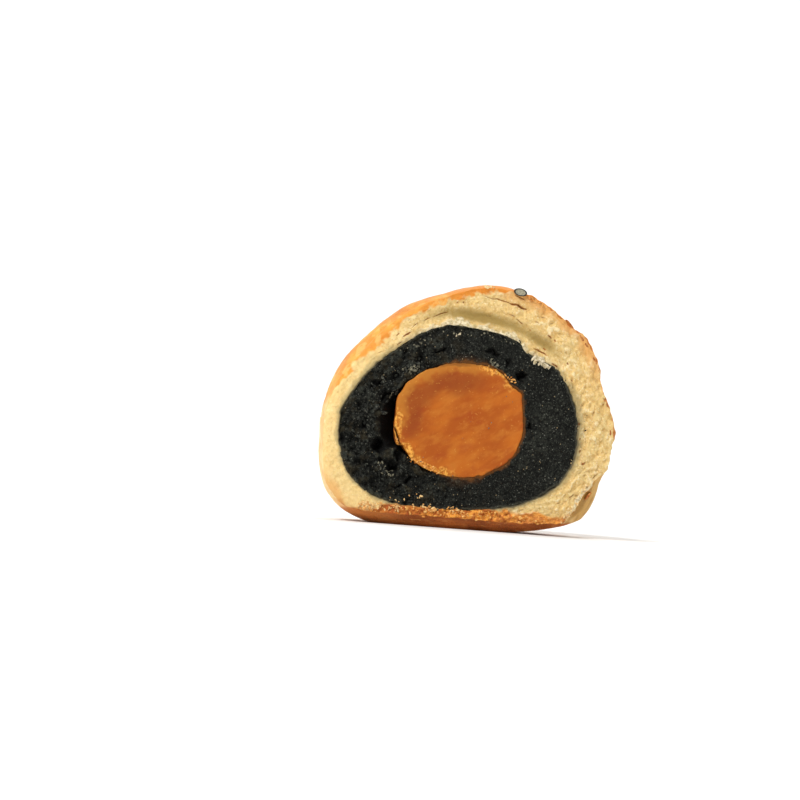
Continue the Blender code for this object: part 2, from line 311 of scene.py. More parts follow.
# The knife's sweep left the middle a touch hollow towards the upper left
dish = 0.20 * step_up(0.95, 0.55, yolk_share + 0.12 * np.cos(yolk_angle - 2.3))
stands_out = 0.22 * step_up(4, -8, yolk_face[..., 0])
grain = 0.03 * noise(yolk_flat, 1.6, 50, 2) + 0.012 * noise(yolk_flat, 0.4, 46, 2)
grain = grain + crumbled * (0.20 * noise(yolk_flat, 0.7, 47, 2) + 0.07 * noise(yolk_flat, 0.25, 48))
edge = np.clip(1 - inward / 0.4, 0, 1)
yolk_face[..., 1] = dish + grain + splits - stands_out + 0.16 * (1 - np.sqrt(1 - edge**2))
back_climb = 0.02 + np.linspace(0, 1, YOLK_BACK_ROWS + 1)[1:, None] ** 1.3 * (math.pi / 2 - POLE_GAP)
yolk_back = yolk_points(yolk_angle, back_climb)
to_upper_left = step_up(-0.1, 0.8, np.cos(yolk_angle - 2.35))
# Painted shade: a few millimetres in from the rim towards the upper left, the dished cut is painted darker
# where its slope turns from the key light
shaded_upper_left = to_upper_left * bump_at(inward + 0.8 * noise(yolk_flat, 3, 38, 2), 3.2, 2.4)
# Painted highlight: the rim towards the upper left, which faces the key light, is painted a lighter tan
lit_upper_left_rim = step_up(2.9, 0.1, inward + 0.8 * noise(yolk_flat, 1.3, 39, 3)) * to_upper_left
yolk = closed_surface("salted_yolk", (yolk_face, yolk_back), {
    "crumbled": (crumbled, 0.3),
    "smeared": (np.clip(smeared, 0, 1), 0),
    "split": (np.clip(splits / 0.4, 0, 1), 0),
    "shaded_upper_left": (shaded_upper_left, 0.5),
    "lit_upper_left_rim": (lit_upper_left_rim, 0),
})

# Cured egg yolk, cut: a waxy, faintly oily orange, clouded where oil and grain gathered along the cut.
# Its real grain is about 0.1 mm, and is drawn at 0.4 mm so that it shows
cured, cured_shader = food(
    "cured_egg_yolk", Roughness=0.55, Specular_IOR_Level=0.14, Subsurface_Weight=0.1,
    Subsurface_Radius=(1.0, 0.35, 0.1), Subsurface_Scale=1.2 * MM,
)
flaked = coats(cured, "#B76C22", ("#EBAA4C", speckle(cured, 0.5, 3), 0.4, 0.62))
orange = coats(
    cured, "#AA5418",
    ("#BC661E", speckle(cured, 4.2, 3, (2.0, 1, 0.9), 32), 0.40, 0.62),
    ("#C4762A", speckle(cured, 1.5, 4, (1.8, 1, 0.8), 32), 0.45, 0.68, 0.55),
    ("#9F431A", speckle(cured, 2.6, 4, (1.6, 1, 0.9), 32), 0.52, 0.72, 0.5),
    # Painted shade on the dish's upper left slope
    ("#8C4018", "shaded_upper_left", 0.1, 0.95, 0.7),
    # Painted highlight on the rim towards the upper left
    ("#BC7A2C", "lit_upper_left_rim", 0.1, 1.0, 0.7),
    ("#CF9040", speckle(cured, 0.42, 2), 0.64, 0.72, 0.5),
    (flaked, "crumbled", 0.2, 0.95),
    ("#7A4A1E", "smeared", 0.3, 1.0, 0.7),
    # Painted shade: dark brown down in the split, darkest where the gouge is deepest
    ("#3E1A0A", "split"),
)
waxy = node(cured, "Bump", in0=0.3, in1=0.08 * MM, Height=speckle(cured, 0.45, 4))[0]
finish(yolk, cured, cured_shader, Base_Color=orange, Normal=waxy)
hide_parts("yolk")
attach(yolk, "root")


# ---- Black sesame paste --------------------------------------------------------------------------
# Roasted black sesame, ground with sugar and fat and pressed round the yolk: nearly black, moist and
# gritty. The knife dragged it open into lumps at the left and pressed it smooth at the right.

PASTE_FORM = ((PASTE_LEFT, 24.2), PASTE_DEPTH, (14.9, 17.9), ((2.77, 2.5, 2.49), (1.44, 1.9, 2.19)))
CLEARANCE, YOLK_CLEARANCE = 0.3, 0.02  # what is left free outside the paste and outside the yolk
PASTE_SIDES, SOCKET_ROWS, PASTE_FACE_ROWS, PASTE_BACK_ROWS = 700, 9, 118, 8
# Holes that the knife tore: (x, z, length, degrees from level, half width, depth)
PASTE_HOLES = (
    (-15.8, 13.8, 2.4, 60, 0.9, 2.2), (-13.0, 9.9, 2.0, 10, 0.8, 2.0), (8.9, 28.1, 1.9, 60, 0.7, 1.8),
    (11.1, 19.3, 1.2, 80, 0.5, 1.0), (-17.0, 24.5, 3.0, 35, 0.4, 0.9), (-6.0, 31.6, 2.4, 14, 0.35, 0.8),
    (-12.2, 12.4, 1.6, 0, 0.7, 1.8), (-10.0, 8.0, 1.8, 55, 0.45, 1.1), (3.5, 32.0, 2.8, -28, 0.4, 0.9),
    (-18.6, 17.6, 1.8, 70, 0.35, 0.8), (-15.2, 22.6, 2.6, 62, 0.5, 1.1), (-9.6, 29.4, 1.8, 30, 0.3, 0.7),
    (-14.9, 11.2, 1.9, -35, 0.3, 0.9), (-11.6, 6.6, 1.5, 20, 0.3, 0.7), (6.2, 30.2, 1.3, -50, 0.35, 0.8),
)


def grains(points, size, seed):
    """Distance, in grain sizes, to the nearest of a crowd of random grain centres, one in each cube."""
    place = points / size
    cell = np.floor(place).astype(np.int64)
    nearest = np.full(place.shape[:-1], 9.0)
    for step in itertools.product((-1, 0, 1), repeat=3):
        near = cell + np.array(step)
        centre = near + 0.5 + 0.42 * np.stack([hashed(near, seed + axis) for axis in range(3)], axis=-1)
        nearest = np.minimum(nearest, np.linalg.norm(place - centre, axis=-1))
    return nearest


def torn_step(angle):
    """How far the knife tore the paste's edge in at the upper right: a step that runs out downwards."""
    return 1.15 * step_up(0.93, 0.79, angle) * step_up(0.50, 0.74, angle)


def paste_points(angle, climb):
    """Points of the paste's outside, ragged along the slice, with the torn step at the upper right."""
    directions = heading(angle, climb)
    points = PASTE_CENTRE + directions * reach(directions, *PASTE_FORM)[..., None]
    ragged = 0.22 * noise(points, 1.6, 51, 2) + 0.14 * noise(points, 0.5, 57) + 0.08
    ragged = ragged - torn_step(angle)
    return points + directions * (ragged * np.cos(climb) ** 20)[..., None]


def socket_points(angle, climb):
    """Points of the hollow that holds the yolk. It gapes at the left, where the yolk pulled away."""
    directions = heading(angle, climb)
    gaping = np.exp(-((np.abs(angle - 3.22) / 0.42) ** 3)) * bump_at(climb, 0, 0.24)
    points = yolk_points(angle, climb)
    ragged = YOLK_CLEARANCE + (2.6 + 0.5 * noise(points, 1.2, 52, 2)) * gaping
    return points + directions * ragged[..., None]


paste_angle = once_round(PASTE_SIDES)
socket = socket_points(paste_angle, 0.0)
paste_rim = paste_points(paste_angle, 0.02)
paste_face = socket + (paste_rim - socket) * np.linspace(0, 1, PASTE_FACE_ROWS)[:, None, None]
paste_flat = on_slice(paste_face)
# The cut is lumpy, beaded, ridged and holed where the knife dragged the paste, and nearly smooth elsewhere
dragged = step_up(5, -11, paste_face[..., 0] + 3 * noise(paste_flat, 6, 63))
lumps = 0.5 - grains(paste_flat, 2.3, 53) + 0.6 * (0.5 - grains(paste_flat, 1.1, 58))
beads = 0.5 - grains(paste_flat, 0.62, 56)
ridges = np.abs(noise(paste_flat, 2.0, 64, 2)) * dragged
holes = gouge(paste_face, PASTE_HOLES, 59, 0.5)
recess = (
    0.16 - 0.95 * dragged * lumps - (0.20 + 0.26 * dragged) * beads + 0.8 * ridges - 0.15 * dragged
    + 0.20 * noise(paste_flat, 3.2, 60, 2) + (0.09 + 0.10 * dragged) * noise(paste_flat, 0.35, 61, 2) + holes
)
to_rim, to_socket = apart(paste_face, paste_rim), apart(paste_face, socket)
# It is smooth against the yolk at the right, where yolk oil browned it, and broken away at the left
pulled_away = step_up(-2, -9, paste_face[..., 0])
recess = recess * (1 - (1 - pulled_away) * np.exp(-((to_socket / 0.8) ** 2)))
recess = recess + 0.3 * pulled_away * np.clip(1 - to_socket / 0.4, 0, 1) ** 2
oiled = np.exp(-((to_socket / (0.40 + 0.30 * noise(paste_flat, 0.9, 65, 3))) ** 2)) * (1 - pulled_away)
oil_spread = bump_at(to_socket + 1.2 * noise(paste_flat, 2.5, 66), 0, 2.0)
oiled = oiled + 0.5 * bump_at(paste_face[..., 0], 0.5, 5) * oil_spread
paste_face[..., 1] = np.maximum(recess, -0.35)
socket_climb = np.linspace(math.pi / 2 - POLE_GAP, 0.10, SOCKET_ROWS)[:, None]
socket_wall = socket_points(paste_angle, socket_climb)
paste_back = paste_points(paste_angle, np.linspace(0.10, math.pi / 2 - 0.03, PASTE_BACK_ROWS)[:, None])
# Painted highlight: the further a bit of paste stands out, the lighter grey it is painted
lit_crests = np.clip(0.5 + 1.3 * (0.12 - recess) + 0.9 * beads + 0.25 * noise(paste_flat, 0.45, 62), 0, 1)
paste = closed_surface("black_sesame_paste", (socket_wall, paste_face, paste_back), {
    "lit_crests": (0, lit_crests, 0),
    # Painted shade: the holes and the deepest dips are marked for near black
    "holes": (1, np.clip(holes / 0.7 + 0.6 * step_up(0.4, 1.0, recess), 0, 1), 0),
    "dragged": (0, dragged, 0),
    "floured": (0, np.exp(-((to_rim / 0.42) ** 2)), 0),
    "oiled": (0, np.clip(oiled, 0, 1), 0),
})

# Ground black sesame: matt black grit with chips of pale hull through it, with a painted highlight on its
# crests and painted shade in its holes.
# Real grit is about 0.1 mm, and is drawn at 0.2 to 0.5 mm so that it shows
ground, ground_shader = food("ground_black_sesame", Roughness=0.75, Specular_IOR_Level=0.12)
chips = node(ground, "TexVoronoi", Vector=node(ground, "TexCoord")["Object"], Scale=1 / (0.34 * MM))
chip_shape = node(ground, "MapRange", SMOOTHLY, in0=chips["Distance"], in1=0.42, in2=0.22)[0]
chip_colour = node(ground, "SeparateColor", in0=chips["Color"])
pick = node(ground, "MapRange", SMOOTHLY, in0=chip_colour[0], in1=0.90, in2=0.93, in4=0.7)[0]
grey_chips = node(ground, "Math", TIMES, in0=chip_shape, in1=pick)[0]
pick = node(ground, "MapRange", SMOOTHLY, in0=chip_colour[1], in1=0.975, in2=0.98, in4=0.85)[0]
tan_chips = node(ground, "Math", TIMES, in0=chip_shape, in1=pick)[0]
patches = node(ground, "MapRange", SMOOTHLY, in0=speckle(ground, 2.2, 3), in1=0.50, in2=0.66, in4=0.55)[0]
where_dragged = node(ground, "Attribute", {"attribute_name": "dragged"})["Fac"]
brownish = node(ground, "Math", TIMES, in0=where_dragged, in1=patches)[0]
grit = coats(
    ground, "#0C0D0A",
    ("#22231F", speckle(ground, 0.45, 5), 0.40, 0.62),
    # Painted highlight on the crests and beads
    ("#363831", "lit_crests", 0.45, 1.0, 0.85),
    ("#0C0D0A", "dragged", 0.7, 0.2, 0.3),
    ("#50524A", speckle(ground, 0.22, 2), 0.58, 0.68, 0.8),
    ("#4E4C3F", "floured", 0.2, 1.0, 0.75),
    ("#74756B", grey_chips),
    ("#A08D6B", tan_chips),
    ("#3A3323", brownish),
    ("#6E431B", "oiled", 0.15, 1.0, 0.75),
    # Painted shade in the holes and deepest dips
    ("#0C0C0A", "holes"),
)
gritty = node(ground, "Bump", in0=1.0, in1=0.32 * MM, Height=speckle(ground, 0.32, 5))[0]
finish(paste, ground, ground_shader, Base_Color=grit, Normal=gritty)
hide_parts("sesame_paste")
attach(paste, "root")


# ---- Crust ---------------------------------------------------------------------------------------
# Layered wheat dough wrapped round the paste, brushed with egg yolk and baked on a tray: a browned skin
# under half a millimetre thick over pale crumb in fine layers. The knife tore cracks between the layers
# and pressed the skin over into the cut at the left, and bent the wall in at the lower right.

DOME_CENTRE = np.array((2.7, 0.0, 18.1))
DOME_FORM = ((29.2, 23.8), 26.5, (19.3, 26.1), ((3.8, 3.5, 3.6), (1.79, 1.95, 1.91)))
# How far the knife pressed the edge in: (degrees round the slice from the right, distance)
PRESSED_EDGE = (
    (-180, 1.1), (-160, 1.2), (-146, 1.7), (-136, 3.3), (-125, 3.6), (-110, 3.4), (-90, 3.2), (-75, 3.3),
    (-60, 3.4), (-52, 3.2), (-45, 2.4), (-38, 3.6), (-28, 4.2), (-20, 2.9), (-13, 0.4), (-5, 0.3), (60, 0.3),
    (95, 1.0), (130, 2.4), (150, 2.1), (165, 1.4), (180, 1.1),
)
PRESSED_DEPTH = 6.2
SOLE_CURL, SOLE_CURL_FROM, SOLE_CURL_SPAN = 1.2, 6.0, 10.0  # the sole lifts off the tray at the right
# Blisters and dips in the skin: (degrees round the slice, distance behind it, radius, height)
BLISTERS = (
    (44, 0.6, 2.6, 0.9), (64, 0.0, 3.4, -0.3), (24, 0.0, 3.0, -0.6), (4, 1.0, 2.8, 0.5), (84, 2.0, 3.0, 0.4),
    (128, 0.5, 4.5, 0.15), (151, 0.5, 4.5, -0.55), (178, 4.0, 5.0, -0.25), (35, 0.5, 0.9, 0.3),
    (30, 0.3, 0.8, 0.25), (12, 0.4, 0.8, -0.2), (74, 0.3, 0.9, 0.25), (3, 0.6, 0.8, 0.25),
)
# Torn layers in the cut: (x, z, length, degrees from level, half width, depth)
TORN_LAYERS = (
    (4.8, 41.1, 8.6, -12, 0.10, 0.35), (7.6, 40.5, 3.2, -19, 0.17, 0.7), (7.6, 42.0, 2.6, -24, 0.10, 0.4),
    (6.4, 38.7, 1.6, -14, 0.09, 0.3), (7.9, 37.8, 1.9, -31, 0.09, 0.4), (11.0, 37.9, 1.1, -4, 0.10, 0.3),
    (9.9, 36.4, 0.5, -60, 0.12, 0.3), (13.6, 35.6, 1.1, -42, 0.12, 0.5), (14.6, 34.9, 0.6, -55, 0.13, 0.4),
    (12.9, 33.3, 0.7, -50, 0.15, 0.4), (12.0, 38.9, 0.8, -20, 0.09, 0.3), (17.2, 31.0, 0.5, -60, 0.15, 0.4),
    (-6.4, 37.9, 2.9, 24, 0.09, 0.4), (-8.8, 36.7, 1.5, 31, 0.08, 0.3), (-10.9, 35.5, 1.5, 35, 0.08, 0.3),
    (-12.2, 33.7, 1.7, 38, 0.12, 0.5), (-13.5, 32.0, 1.3, 29, 0.08, 0.3), (-16.7, 30.2, 1.6, 20, 0.07, 0.2),
    (-2.4, 40.3, 0.5, 60, 0.12, 0.4), (-3.6, 40.2, 0.4, 40, 0.10, 0.3), (-13.9, 33.6, 0.9, 40, 0.10, 0.3),
    (12.2, 32.7, 2.8, -24, 0.12, 0.5), (14.9, 30.6, 1.4, -30, 0.12, 0.5), (22.4, 22.5, 1.2, 85, 0.08, 0.3),
    (24.4, 24.6, 1.4, 80, 0.07, 0.3), (21.4, 13.4, 0.9, 35, 0.18, 0.4), (20.6, 15.6, 0.5, 60, 0.12, 0.4),
    (20.4, 17.8, 0.5, 80, 0.12, 0.4), (20.2, 20.4, 0.5, 70, 0.10, 0.4), (23.6, 11.2, 1.4, 62, 0.08, 0.3),
    (19.6, 7.4, 1.5, 40, 0.09, 0.3), (17.4, 6.0, 0.8, 20, 0.08, 0.3), (-20.6, 8.4, 0.8, -40, 0.12, 0.4),
    (-18.4, 6.4, 0.7, 20, 0.10, 0.3), (18.2, 28.0, 0.5, -50, 0.12, 0.4), (2.5, 38.4, 1.6, 4, 0.06, 0.2),
)
SWELLS, SWELL_LENGTH = 14, 12.5  # how many waves make up the dome's swelling, and their length
RIM_DISTANCE = 22.0  # from the dome's middle to the cut's edge, near enough
LAYER_THICKNESS, LAYER_TURN = 0.45, 12.0  # and how finely the layers break up round the slice
CRUST_SIDES, CAVITY_ROWS, CRUST_FACE_ROWS, SKIN_ROWS = 700, 6, 74, 61


def unit(vectors):
    """Vectors made one long."""
    return vectors / np.linalg.norm(vectors, axis=-1, keepdims=True)


def swell(points):
    """The dome's own uneven swelling, about -1 to 1: a sum of waves, each in its own direction."""
    draw = np.random.default_rng(5)
    headings = unit(draw.normal(size=(SWELLS, 3)))
    phases = draw.uniform(0, 2 * math.pi, SWELLS)
    waves = np.sin(points @ headings.T * (2 * math.pi / SWELL_LENGTH) + phases)
    return waves.sum(axis=-1) / math.sqrt(SWELLS)


def skin_points(directions):
    """Points of the baked skin: the dome with its swelling and blisters, pressed in at the slice, on its flat
    sole. Fine wrinkles and a chipped edge lie on top."""
    points = DOME_CENTRE + directions * reach(directions, *DOME_FORM)[..., None]
    out = points - DOME_CENTRE
    degrees = np.degrees(np.arctan2(out[..., 2], out[..., 0]))
    from_axis = np.hypot(out[..., 0], out[..., 2])
    behind = np.maximum(points[..., 1], 0)
    calm = np.clip(points[..., 2] / 8, 0, 1)
    lift = 0.18 * calm * swell(points)
    for where, back, radius, height in BLISTERS:
        along = np.radians(degrees - where) * from_axis
        lift = lift + height * np.exp(-(along**2 + (behind - back) ** 2) / radius**2)
    baked = np.clip(points[..., 2] / 4, 0.25, 1)
    lift = lift + baked * (0.07 * noise(points, 4.5, 31, 2) + 0.045 * noise(points, 1.4, 32, 3))
    chipped = 0.12 * noise(points, 1.5, 33, 2) + 0.11 * noise(points, 0.55, 34)
    lift = lift + chipped * np.exp(-behind / 0.6) * (0.5 + 0.9 * step_up(95, 60, np.abs(degrees)))
    inset = np.interp(degrees, *zip(*PRESSED_EDGE)) * np.clip(1 - behind / PRESSED_DEPTH, 0, 1) ** 2
    points = points + directions * lift[..., None]
    points = points - on_slice(out) / np.maximum(from_axis, 1e-6)[..., None] * inset[..., None]
    curl = SOLE_CURL * np.maximum((points[..., 0] - SOLE_CURL_FROM) / SOLE_CURL_SPAN, 0) ** 2
    points[..., 2] = np.maximum(points[..., 2], curl)
    return points


def cavity_points(angle, climb):
    """Points of the wall that the dough makes round the paste, a clearance outside it."""
    directions = heading(angle, climb)
    points = PASTE_CENTRE + directions * (reach(directions, *PASTE_FORM) + CLEARANCE)[..., None]
    ragged = 0.18 * noise(points, 1.1, 21, 2) - 0.25 - torn_step(angle) - 0.15 * bump_at(angle, 1.35, 0.5)
    return points + directions * (ragged * np.cos(climb) ** 20)[..., None]


# The face runs along rays from the paste's middle, so each ray's turn round the dome is looked up
round_paste = once_round(CRUST_SIDES)
every_turn = np.linspace(-0.5, 2 * math.pi + 0.5, 2400)
skin_outline = skin_points(heading(every_turn, 0.008)) - PASTE_CENTRE
seen_from_paste = np.maximum.accumulate(np.unwrap(np.arctan2(skin_outline[:, 2], skin_outline[:, 0])))
round_slice = np.interp(round_paste, seen_from_paste, every_turn)
# The edge between the cut and the skin is sharp, and rounded over about a millimetre at the left
softened = 0.18 + step_up(1.75, 2.6, round_slice) * step_up(4.0, 3.6, round_slice)
rim_climb = softened / RIM_DISTANCE
rim = skin_points(heading(round_slice, rim_climb))
mouth = cavity_points(round_paste, 0.0)
face = mouth + (rim - mouth) * np.linspace(0, 1, CRUST_FACE_ROWS)[:, None, None]
flat = on_slice(face)
x, z = face[..., 0], face[..., 2]
from_rim, from_mouth = apart(face, rim), apart(face, mouth)
about_paste = np.degrees(np.arctan2(z - PASTE_CENTRE[2], x - PASTE_CENTRE[0]))
# The smooth hollow over the paste, the floury fringe at the paste and on the ridge at the lower right, and
# the crisp layer along the sole
from_paste = from_mouth - torn_step(round_paste)
over_paste = step_up(24, 46, about_paste) * step_up(128, 84, about_paste)
over_paste = over_paste * (0.64 + 0.30 * bump_at(about_paste, 76, 15) + 0.22 * bump_at(about_paste, 42, 6))
hollow = bump_at(from_paste, 2.1, np.where(from_paste > 2.1, 1.4, 1.05)) * over_paste
fringe = step_up(1.35, 0.35, from_mouth + 0.8 * noise(flat, 1.3, 22, 3)) * bump_at(about_paste, 74, 40)
turn_degrees = np.degrees(round_slice)
ridge = step_up(1.2, 0.2, from_rim + 0.6 * noise(flat, 1.2, 24, 2)) * bump_at(turn_degrees, 329, 13)
fringe = np.maximum(fringe, 0.8 * ridge)
crisp_depth = 0.2 + 1.8 * step_up(-21, -11, x) + 0.5 * noise(flat, 1.3, 14, 2) + 0.5 * bump_at(x, 6, 5)
crisp_depth = crisp_depth - 2.2 * step_up(14.5, 20.5, x) + 0.8 * bump_at(x, 13, 3)
crisp = step_up(0.5, -0.4, from_rim - crisp_depth) * step_up(5.2, 4.4, z) * step_up(-23.4, -20.4, x)
# The crumb's relief: fine roughness, clods like crushed crumbs, and pores
rough = (1 - 0.85 * hollow) * (0.7 + 0.6 * step_up(-6, 12, x) + 1.2 * crisp + 1.2 * fringe)
fine = rough * (0.15 * noise(flat, 1.1, 2, 3) + 0.08 * noise(flat, 0.4, 3, 2))
warped = flat + 0.55 * np.stack((noise(flat, 0.9, 26, 2), x * 0, noise(flat, 0.9, 27, 2)), axis=-1)
clods = (0.5 - grains(warped, 1.7, 9) + 0.6 * (0.5 - grains(warped, 0.8, 10))) * (1 - hollow)
clods = clods * (0.20 + 0.34 * step_up(2, 18, x) * step_up(2, 14, z) + 0.3 * crisp)
pores = np.clip(0.24 - grains(flat, 1.0, 4) - 0.15 * noise(flat, 0.6, 8, 2), 0, 1)
pores = pores * step_up(0, 0.6, noise(flat, 4.0, 23)) * step_up(-14, 0, x)
# Fine layers of dough, which follow the skin: long round the slice and thin across it
turn_x, _, turn_z = (heading(round_slice, 0.0) * LAYER_TURN).T
layer_place = np.stack(np.broadcast_arrays(turn_x, from_rim / LAYER_THICKNESS, turn_z), axis=-1)
layers = noise(layer_place, 1.0, 5, 2)
layers = layers * step_up(-0.1, 0.9, np.sin(round_slice)) * step_up(-0.4, 0.5, noise(flat, 3.4, 6))
cracks = gouge(face, TORN_LAYERS, 7, 0.12)
crumb = fine - clods + rough * pores * 1.2 - 0.07 * (1 - 0.7 * hollow) * layers
recess = 1.1 * hollow + 0.16 * noise(flat, 3.6, 1, 2) + crumb + cracks
recess = recess - 0.25 * fringe + 0.15 * np.clip(1 - from_mouth / 0.35, 0, 1) ** 2
edge = np.clip(1 - from_rim / softened, 0, 1)
face[..., 1] = recess * (1 - edge) + rim[:, 1] * (1 - np.sqrt(np.clip(1 - edge**2, 0, 1)))
cavity = cavity_points(round_paste, np.linspace(math.pi / 2 - POLE_GAP, 0.06, CAVITY_ROWS)[:, None])
skin_share = np.linspace(0, 1, SKIN_ROWS + 1)[1:, None] ** 1.6
skin = skin_points(heading(round_slice, rim_climb + (math.pi / 2 - 0.02 - rim_climb) * skin_share))

# The wash ran a few millimetres over the edge at the upper left, and is a thin line elsewhere
washed = 0.12 + 1.4 * step_up(1.7, 2.2, round_slice) * step_up(3.1, 2.6, round_slice)
washed = washed + 1.1 * bump_at(round_slice, 1.72, 0.27)
skin_on_face = step_up(1.45, 0.35, from_rim / washed + 0.85 * noise(flat, 1.7, 12, 4))
tanned = step_up(3.6, 0.2, from_rim + 0.7 * noise(flat, 2.0, 13, 2))
tanned = tanned * step_up(0.25, 0.75, round_slice) * step_up(1.75, 1.3, round_slice)
left_tan = 0.8 * bump_at(turn_degrees, 206, 9) * step_up(2.6, 0.2, from_rim + 0.6 * noise(flat, 1.6, 13))
tanned = np.maximum(tanned, left_tan)
browned = step_up(0.40, 0.05, from_rim + 0.35 * noise(flat, 0.9, 19, 2))
browned = browned * step_up(-0.2, 0.1, np.sin(round_slice)) * step_up(0.1, 0.3, np.cos(round_slice))
# How far from the paste the crumb turns greyer and darker
greyed_width = 0.75 + 0.6 * bump_at(about_paste, 2, 26) + 0.5 * bump_at(about_paste, 146, 24)
greyed_width = greyed_width + 0.35 * noise(flat, 1.6, 15, 2)
greyed_near_paste = np.exp(-((from_mouth / greyed_width) ** 2)) * (1 - fringe)
# The skin is pale at its foot, golden higher up, redder towards the back, and dull where it was bent in, with
# a painted shadow in the nook just behind the ridge
height, behind = skin[..., 2], skin[..., 1]
skin_angle = np.degrees(np.arctan2(skin[..., 2] - DOME_CENTRE[2], skin[..., 0] - DOME_CENTRE[0]))
foot = step_up(2.9, 2.1, height + 0.3 * noise(skin, 2.2, 16, 2))
golden = step_up(8, 32, height + 7.0 * noise(skin, 6, 17, 4))
aged = step_up(2.5, 12, behind + 2.5 * noise(skin, 6, 18, 3) + 0.12 * (height - 20))
wander = noise(skin, 2.2, 28, 3)
bent_in = bump_at(skin_angle + 7 * wander, -32, 16) * step_up(6.5, 2.0, behind + 1.5 * wander)
# Painted shadow: the nook just behind the ridge at the lower right
nook_shadow = bump_at(skin_angle, -33, 9) * bump_at(behind, 0.7, 0.8 + 0.3 * noise(skin, 1.2, 25))
blistered = np.maximum(bump_at(skin_angle + 4 * wander, 33, 5), bump_at(skin_angle + 4 * wander, 3, 3))
blistered = blistered * step_up(2.2, 0.6, behind + 0.9 * wander)
crust = closed_surface("baked_crust", (cavity, face, skin), {
    "skin": (0, skin_on_face, 1),
    "tanned": (0, 0.85 * tanned, 0),
    "crisp": (0, crisp, 0),
    "reddish": (0, crisp * step_up(-2, -12, x), 0),
    "greyed_near_paste": (1, greyed_near_paste, 0),
    "hollow": (0.4, hollow, 0),
    "fringe": (0, fringe, 0),
    "torn": (0, np.clip(cracks / 0.3, 0, 1) + np.clip(pores * 2.0, 0, 0.35), 0),
    "layers": (0.5, 0.5 + 0.5 * layers, 0.5),
    # Painted highlight on raised crumb, painted shade in sunken crumb
    "lit_crests": (0, np.clip(-crumb / 0.3, 0, 1), 0),
    "shaded_dips": (0, np.clip(crumb / 0.4, 0, 1), 0),
    "browned": (0, browned, 0),
    "foot": (0, step_up(3.4, 2.8, z), foot),
    "golden": (0, golden[0], golden),
    "aged": (0, 0, aged),
    "bent_in": (0, 0, bent_in),
    "nook_shadow": (0, 0, nook_shadow),
    "blistered": (0, 0, blistered),
})

# Egg-washed shortcrust: crumb is matt and creamy, and the wash is an even gold where thin, redder and
# slightly glossy where it pooled, with fine crazing
dough, dough_shader = food(
    "egg_washed_dough", Specular_IOR_Level=0.2, Subsurface_Weight=0.1,
    Subsurface_Radius=(1.0, 0.6, 0.3), Subsurface_Scale=1.0 * MM,
)
across, _, upward = node(dough, "SeparateXYZ", in0=node(dough, "TexCoord")["Object"])
floury = coats(dough, "#BFAF86", ("#F0E4C4", speckle(dough, 0.45, 4), 0.38, 0.58))

# Along the sole it is baked through: orange and brittle, darker at the left
toasted = coats(
    dough, "#BC6A2D",
    ("#EDA044", speckle(dough, 0.9, 4), 0.42, 0.58),
    ("#FFC168", speckle(dough, 0.5, 4), 0.56, 0.66, 0.8),
    ("#A9542A", "reddish", 0.1, 0.9, 0.6),
    ("#EFA65C", across, 4 * MM, 13 * MM, 0.35),
)

# The crumb is cream, with a few layers lighter or darker. Painted shade darkens it towards the right, in
# sunken crumb and, brown, in what the knife tore, and a painted highlight lightens raised clods
cream = coats(
    dough, "#F3D698",
    # Painted shade: the crumb is painted darker towards the right, away from the key light
    ("#E4C88A", across, -18 * MM, 18 * MM),
    ("#EBC680", speckle(dough, 2.4, 4), 0.42, 0.62, 0.7),
    ("#DDB772", "layers", 0.46, 0.20, 0.45),
    ("#FCE6B4", "layers", 0.60, 0.85, 0.45),
    ("#D3AE6B", speckle(dough, 1.1, 5), 0.48, 0.66, 0.55),
    ("#C9A15C", speckle(dough, 0.5, 5), 0.50, 0.64, 0.65),
    ("#FDEDC4", speckle(dough, 0.32, 3), 0.56, 0.70, 0.6),
    ("#EBCD8C", across, -11 * MM, -20 * MM, 0.55),
    # Painted highlight on raised clods, and painted shade in sunken crumb
    ("#FCEBBE", "lit_crests", 0.2, 0.9, 0.6),
    ("#BE9552", "shaded_dips", 0.2, 1.0, 0.5),
    ("#DF9F55", "tanned", 0.05, 1.0, 0.85),
    # Painted shade: olive brown in the hollow over the paste, and inside the wall round the paste
    ("#A1864A", "hollow", 0.08, 0.85, 0.95),
    # Greyer and darker towards the paste, darkest at its edge
    ("#A08F64", "greyed_near_paste", 0.15, 0.95, 0.8),
    ("#4C483A", "greyed_near_paste", 0.86, 1.0, 0.85),
    (floury, "fringe", 0.1, 0.9, 0.85),
    (toasted, "crisp"),
    # Painted shade: brown down in the cracks and pores that the knife tore
    ("#A8622C", "torn", 0.15, 1.0, 0.85),
    ("#B4642C", "browned", 0.2, 0.9, 0.9),
)

# The skin near the cut is pale at the foot and gold above, and the rest is redder
pale_skin = coats(
    dough, "#F3D698",
    ("#EFC080", speckle(dough, 3.0, 5), 0.42, 0.60),
    ("#E2AC66", speckle(dough, 1.0, 4, (0.6, 1, 2.5)), 0.56, 0.70, 0.7),
)
gold_skin = coats(
    dough, "#F0A646",
    ("#E49238", speckle(dough, 2.6, 6), 0.40, 0.60),
    ("#D98430", speckle(dough, 1.1, 4), 0.56, 0.70, 0.8),
    ("#F3C474", speckle(dough, 2.0, 4), 0.53, 0.64, 0.55),
    ("#DA842A", upward, 40.2 * MM, 42.2 * MM, 0.8),
)
red_skin = coats(
    dough, "#CC7F48",
    ("#AC5C2E", speckle(dough, 6.5, 6), 0.38, 0.62),
    ("#DB9A66", speckle(dough, 1.4, 5), 0.50, 0.70, 0.6),
    ("#8F4420", speckle(dough, 2.6, 4), 0.58, 0.72, 0.7),
)
low_skin = coats(
    dough, "#D5A066",
    ("#BE7740", speckle(dough, 2.8, 5, (1, 1, 2.4)), 0.36, 0.68),
    ("#E2BE90", speckle(dough, 0.9, 3), 0.58, 0.74, 0.35),
)
